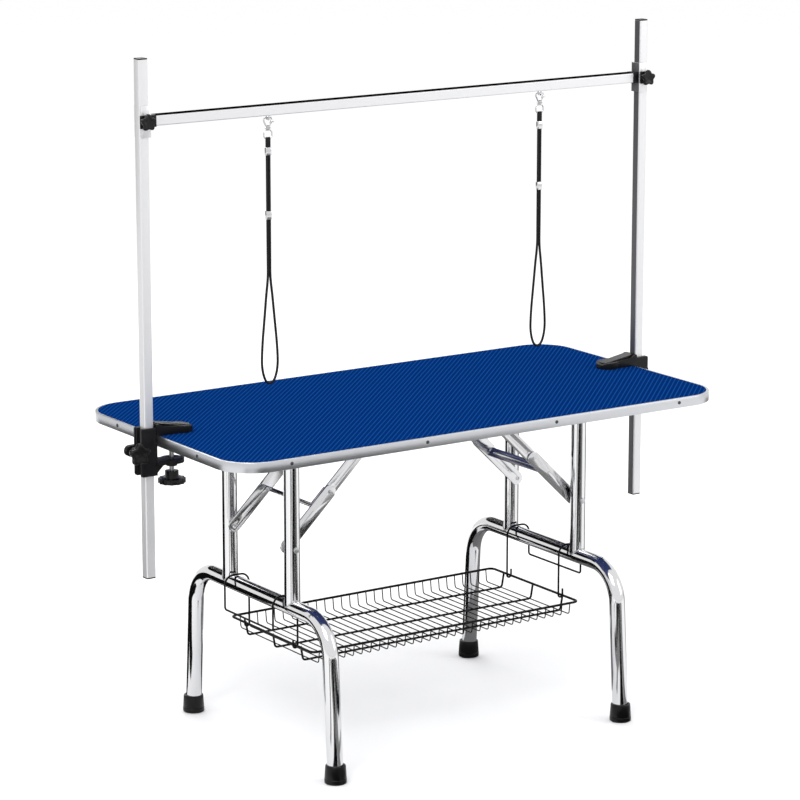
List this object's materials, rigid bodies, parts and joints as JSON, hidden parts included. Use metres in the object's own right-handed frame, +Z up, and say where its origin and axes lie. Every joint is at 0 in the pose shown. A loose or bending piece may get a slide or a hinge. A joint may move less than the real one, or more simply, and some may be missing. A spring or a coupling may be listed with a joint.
{
  "type": "folding pet grooming table",
  "caption": "Folding pet grooming table: ribbed blue top on hinged chrome legs, wire basket, overhead rail on two clamped posts, two restraint nooses.",
  "frame": {"origin": "on the floor under the middle of the tabletop", "axes": "+X along the table's length, +Z up, +Y away from the side where the rail knobs are"},
  "size_m": [1.3006, 0.6134, 1.4075],
  "materials": {
    "board": "dark blue laminate",
    "mat": "blue ribbed rubber",
    "band": "satin",
    "tube": "polished",
    "strip_steel": "bright plated",
    "bracket": "zinc plated",
    "screws": "dark",
    "black_rubber": "matte",
    "black_plastic": "satin",
    "wire": "black coating",
    "post_grey": "satin anodised",
    "bright": "polished",
    "steel_screw": "plain",
    "cord": "black braid"
  },
  "bodies": {
    "table": {"tabletop_board": "board", "mat": "mat", "edge_band": "band", "band_screws": "screws", "leg_brackets": "bracket", "brace_brackets": "bracket", "hinge_pins": "bracket", "left_clamp": "black_plastic", "right_clamp": "black_plastic"},
    "basket": {"basket_rim": "wire", "basket_long_wires": "wire", "basket_cross_wires": "wire", "basket_side_wires": "wire"},
    "crossbar": {"rail": "post_grey", "rail_strip": "black_plastic", "rail_sleeves": "post_grey", "rail_end_blocks": "black_plastic", "noose_eyes": "bright"},
    "left_leg": {"left_leg_frame": "tube", "left_uprights": "tube", "left_feet": "black_rubber"},
    "left_lower_brace": {"left_lower_braces": "strip_steel", "left_brace_rivets": "bracket"},
    "left_yoke": {"left_brace_yoke": "strip_steel"},
    "left_hanging_wire": {"left_hanger": "wire"},
    "left_mast": {"left_post": "post_grey", "left_post_caps": "black_plastic"},
    "left_rail_screw": {"left_rail_knob": "black_plastic"},
    "left_post_screw": {"left_post_knob": "black_plastic"},
    "left_pad": {"left_clamp_pad": "black_plastic"},
    "left_screw": {"left_clamp_screw": "steel_screw", "left_handwheel": "black_plastic"},
    "left_hook": {"left_snap_hook": "bright"},
    "left_latch": {"left_snap_latch": "bright"},
    "left_noose": {"left_swivel_ring": "bright", "left_noose_strap": "cord", "left_ferrule": "bright", "left_noose_cord": "cord"},
    "left_slider": {"left_noose_slider": "bright"},
    "right_leg": {"right_leg_frame": "tube", "right_uprights": "tube", "right_feet": "black_rubber"},
    "right_lower_brace": {"right_lower_braces": "strip_steel", "right_brace_rivets": "bracket"},
    "right_yoke": {"right_brace_yoke": "strip_steel"},
    "right_hanging_wire": {"right_hanger": "wire"},
    "right_mast": {"right_post": "post_grey", "right_post_caps": "black_plastic"},
    "right_rail_screw": {"right_rail_knob": "black_plastic"},
    "right_post_screw": {"right_post_knob": "black_plastic"},
    "right_pad": {"right_clamp_pad": "black_plastic"},
    "right_screw": {"right_clamp_screw": "steel_screw", "right_handwheel": "black_plastic"},
    "right_hook": {"right_snap_hook": "bright"},
    "right_latch": {"right_snap_latch": "bright"},
    "right_noose": {"right_swivel_ring": "bright", "right_noose_strap": "cord", "right_ferrule": "bright", "right_noose_cord": "cord"},
    "right_slider": {"right_noose_slider": "bright"}
  },
  "joints": [
    {"name": "left_leg_fold", "type": "hinge", "parent": "table", "child": "left_leg", "pos_m": [-0.35, 0, 0.637], "axis": [0, -1, 0], "range_deg": [0, 88]},
    {"name": "left_lower_brace_turn", "type": "hinge", "parent": "left_leg", "child": "left_lower_brace", "pos_m": [-0.35, 0, 0.438], "axis": [0, -1, 0], "range_deg": [0, 47.3]},
    {"name": "left_yoke_turn", "type": "hinge", "parent": "table", "child": "left_yoke", "pos_m": [-0.142, 0, 0.638], "axis": [0, -1, 0], "range_deg": [-42, 0]},
    {"name": "left_hanger_swing", "type": "hinge", "parent": "left_leg", "child": "left_hanging_wire", "pos_m": [-0.35, 0, 0.318], "axis": [0, -1, 0], "range_deg": [-88.1, 0]},
    {"name": "left_mast_slide", "type": "slide", "parent": "table", "child": "left_mast", "axis": [0, 0, 1], "range_m": [-0.03, 0.15]},
    {"name": "left_rail_knob_turn", "type": "hinge", "parent": "crossbar", "child": "left_rail_screw", "pos_m": [-0.5986, 0, 1.287], "axis": [0, -1, 0], "range_deg": [0, 720]},
    {"name": "left_post_knob_turn", "type": "hinge", "parent": "table", "child": "left_post_screw", "pos_m": [-0.63, 0.012, 0.645], "axis": [0, 1, 0], "range_deg": [0, 720]},
    {"name": "left_pad_slide", "type": "slide", "parent": "table", "child": "left_pad", "axis": [0, 0, -1], "range_m": [0, 0.02]},
    {"name": "left_screw_turn", "type": "hinge", "parent": "left_pad", "child": "left_screw", "pos_m": [-0.544, 0.012, 0.6], "axis": [0, 0, -1], "range_deg": [0, 3601]},
    {"name": "left_hook_swing", "type": "hinge", "parent": "crossbar", "child": "left_hook", "pos_m": [-0.317, 0.012, 1.268], "axis": [0, 1, 0], "range_deg": [-25, 25]},
    {"name": "left_latch_slide", "type": "slide", "parent": "left_hook", "child": "left_latch", "axis": [-0.36, 0, -0.933], "range_m": [0, 0.003], "stiffness_N_per_m": 400, "springref_m": -0.003},
    {"name": "left_swivel_turn", "type": "hinge", "parent": "left_hook", "child": "left_noose", "pos_m": [-0.317, 0.012, 1.25], "axis": [0, 0, 1], "continuous": true},
    {"name": "left_slider_slide", "type": "slide", "parent": "left_noose", "child": "left_slider", "axis": [0, 0, 1], "range_m": [-0.1, 0.105]},
    {"name": "right_leg_fold", "type": "hinge", "parent": "table", "child": "right_leg", "pos_m": [0.35, 0, 0.637], "axis": [0, 1, 0], "range_deg": [0, 82]},
    {"name": "right_lower_brace_turn", "type": "hinge", "parent": "right_leg", "child": "right_lower_brace", "pos_m": [0.35, 0, 0.438], "axis": [0, 1, 0], "range_deg": [0, 45]},
    {"name": "right_yoke_turn", "type": "hinge", "parent": "table", "child": "right_yoke", "pos_m": [0.142, 0, 0.638], "axis": [0, 1, 0], "range_deg": [-42, 0]},
    {"name": "right_hanger_swing", "type": "hinge", "parent": "right_leg", "child": "right_hanging_wire", "pos_m": [0.35, 0, 0.318], "axis": [0, 1, 0], "range_deg": [-82.1, 0]},
    {"name": "right_mast_slide", "type": "slide", "parent": "table", "child": "right_mast", "axis": [0, 0, 1], "range_m": [-0.0301, 0.1501]},
    {"name": "right_rail_knob_turn", "type": "hinge", "parent": "crossbar", "child": "right_rail_screw", "pos_m": [0.5986, 0, 1.287], "axis": [0, -1, 0], "range_deg": [0, 720]},
    {"name": "right_post_knob_turn", "type": "hinge", "parent": "table", "child": "right_post_screw", "pos_m": [0.63, 0.012, 0.645], "axis": [0, -1, 0], "range_deg": [0, 720]},
    {"name": "right_pad_slide", "type": "slide", "parent": "table", "child": "right_pad", "axis": [0, 0, -1], "range_m": [0, 0.02]},
    {"name": "right_screw_turn", "type": "hinge", "parent": "right_pad", "child": "right_screw", "pos_m": [0.544, 0.012, 0.6], "axis": [0, 0, -1], "range_deg": [0, 3601]},
    {"name": "right_hook_swing", "type": "hinge", "parent": "crossbar", "child": "right_hook", "pos_m": [0.338, 0.012, 1.268], "axis": [0, 1, 0], "range_deg": [-25, 25]},
    {"name": "right_latch_slide", "type": "slide", "parent": "right_hook", "child": "right_latch", "axis": [-0.36, 0, -0.933], "range_m": [0, 0.003], "stiffness_N_per_m": 400, "springref_m": -0.003},
    {"name": "right_swivel_turn", "type": "hinge", "parent": "right_hook", "child": "right_noose", "pos_m": [0.338, 0.012, 1.25], "axis": [0, 0, 1], "continuous": true},
    {"name": "right_slider_slide", "type": "slide", "parent": "right_noose", "child": "right_slider", "axis": [0, 0, 1], "range_m": [-0.1, 0.105]},
    {"name": "crossbar_slide", "type": "slide", "parent": "left_mast", "child": "crossbar", "axis": [0, 0, 1], "range_m": [-0.03, 0.08]},
    {"name": "basket_lift", "type": "slide", "parent": "table", "child": "basket", "axis": [0, 0, 1], "range_m": [0, 0.02]}
  ],
  "couplings": [
    {"joint": "left_lower_brace_turn", "follows": "left_leg_fold", "ratio": 0.53534},
    {"joint": "left_yoke_turn", "follows": "left_leg_fold", "ratio": -0.47466},
    {"joint": "right_lower_brace_turn", "follows": "right_leg_fold", "ratio": 0.54598},
    {"joint": "right_yoke_turn", "follows": "right_leg_fold", "ratio": -0.50696},
    {"joint": "left_hanger_swing", "follows": "left_leg_fold", "ratio": -1},
    {"joint": "right_hanger_swing", "follows": "right_leg_fold", "ratio": -1},
    {"joint": "right_mast_slide", "follows": "left_mast_slide", "ratio": 1},
    {"joint": "left_screw_turn", "follows": "left_pad_slide", "rad_per_m": 3141.6},
    {"joint": "right_screw_turn", "follows": "right_pad_slide", "rad_per_m": 3141.6}
  ]
}
